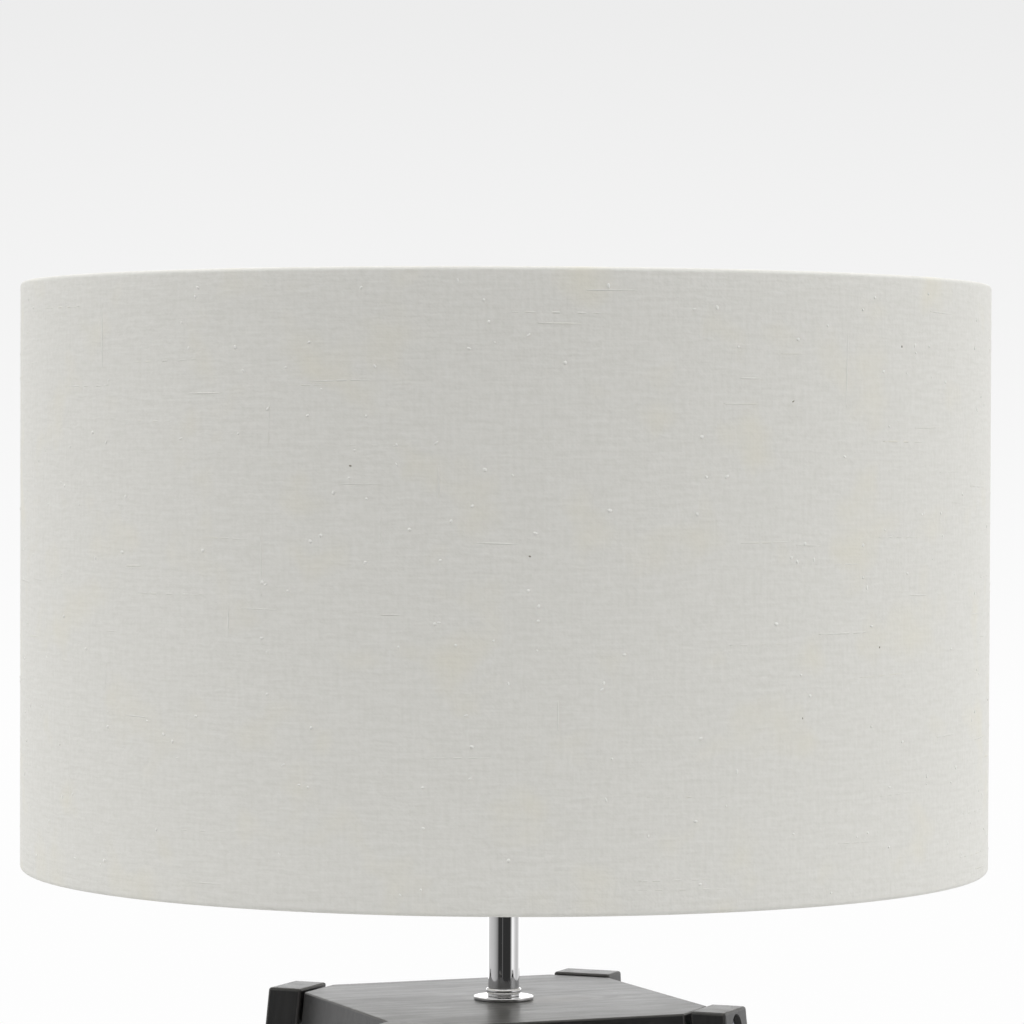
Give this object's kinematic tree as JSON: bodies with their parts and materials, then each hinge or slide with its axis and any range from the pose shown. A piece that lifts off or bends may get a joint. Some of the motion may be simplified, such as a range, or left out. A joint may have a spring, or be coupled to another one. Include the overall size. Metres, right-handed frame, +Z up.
{
  "type": "table lamp",
  "caption": "Table lamp with a round fabric drum shade on a short chrome stem and a dark wooden base with splayed legs.",
  "frame": {"origin": "on the surface that the lamp stands on, under the stem's axis", "axes": "+Z up along the stem; X and Y along the sides of the square base, so the legs stand on the diagonals"},
  "size_m": [0.4, 0.4, 0.6365],
  "materials": {
    "stained_wood": "satin, black-grey stained, grain faintly open",
    "zinc_steel": "bright zinc plated, machined",
    "black_nylon": "moulded, matt",
    "felt": "pressed felt",
    "chrome": "polished",
    "white_ceramic": "unglazed",
    "brass": "stamped",
    "nickel_steel": "nickel plated",
    "black_glass": "glossy",
    "white_plastic": "moulded, satin",
    "opal_plastic": "frosted",
    "shade_cloth": "plain woven, off-white, slubbed",
    "shade_liner": "white film",
    "shade_wire": "white powder coat"
  },
  "bodies": {
    "base": {"top_block": "stained_wood", "lower_shelf": "stained_wood", "leg_front_left": "stained_wood", "leg_front_right": "stained_wood", "leg_back_right": "stained_wood", "leg_back_left": "stained_wood", "leg_bolt_upper_front_left": "zinc_steel", "leg_bolt_upper_front_right": "zinc_steel", "leg_bolt_upper_back_right": "zinc_steel", "leg_bolt_upper_back_left": "zinc_steel", "leg_bolt_lower_front_left": "zinc_steel", "leg_bolt_lower_front_right": "zinc_steel", "leg_bolt_lower_back_right": "zinc_steel", "leg_bolt_lower_back_left": "zinc_steel", "leg_spacer_upper_front_left": "black_nylon", "leg_spacer_upper_front_right": "black_nylon", "leg_spacer_upper_back_right": "black_nylon", "leg_spacer_upper_back_left": "black_nylon", "leg_spacer_lower_front_left": "black_nylon", "leg_spacer_lower_front_right": "black_nylon", "leg_spacer_lower_back_right": "black_nylon", "leg_spacer_lower_back_left": "black_nylon", "foot_pad_front_left": "felt", "foot_pad_front_right": "felt", "foot_pad_back_right": "felt", "foot_pad_back_left": "felt", "stem_washer": "chrome", "stem_thin_ring": "chrome", "stem_collar": "chrome", "stem_tube": "chrome", "nut_washer": "zinc_steel", "rod_nut": "zinc_steel", "threaded_rod": "zinc_steel", "cable_bush": "black_nylon", "holder_cap": "black_nylon", "holder_shell": "black_nylon", "holder_insert": "white_ceramic", "holder_sleeve": "brass", "holder_contact": "brass"},
    "shade": {"shade_cloth": "shade_cloth", "shade_liner": "shade_liner", "shade_top_wire": "shade_wire", "shade_fitter": "shade_wire"},
    "screw_ring": {"shade_screw_ring": "black_nylon"},
    "bulb": {"bulb_contact": "nickel_steel", "bulb_insulator": "black_glass", "bulb_cap": "nickel_steel", "bulb_neck": "white_plastic", "bulb_globe": "opal_plastic"}
  },
  "joints": [
    {"name": "shade_turn", "type": "hinge", "parent": "base", "child": "shade", "pos_m": [0, 0, 0.4283], "axis": [0, 0, 1], "continuous": true},
    {"name": "screw_ring_turn", "type": "hinge", "parent": "base", "child": "screw_ring", "pos_m": [0, 0, 0.4316], "axis": [0, 0, 1], "continuous": true},
    {"name": "bulb_turn", "type": "hinge", "parent": "base", "child": "bulb", "pos_m": [0, 0, 0.443], "axis": [0, 0, 1], "continuous": true}
  ]
}
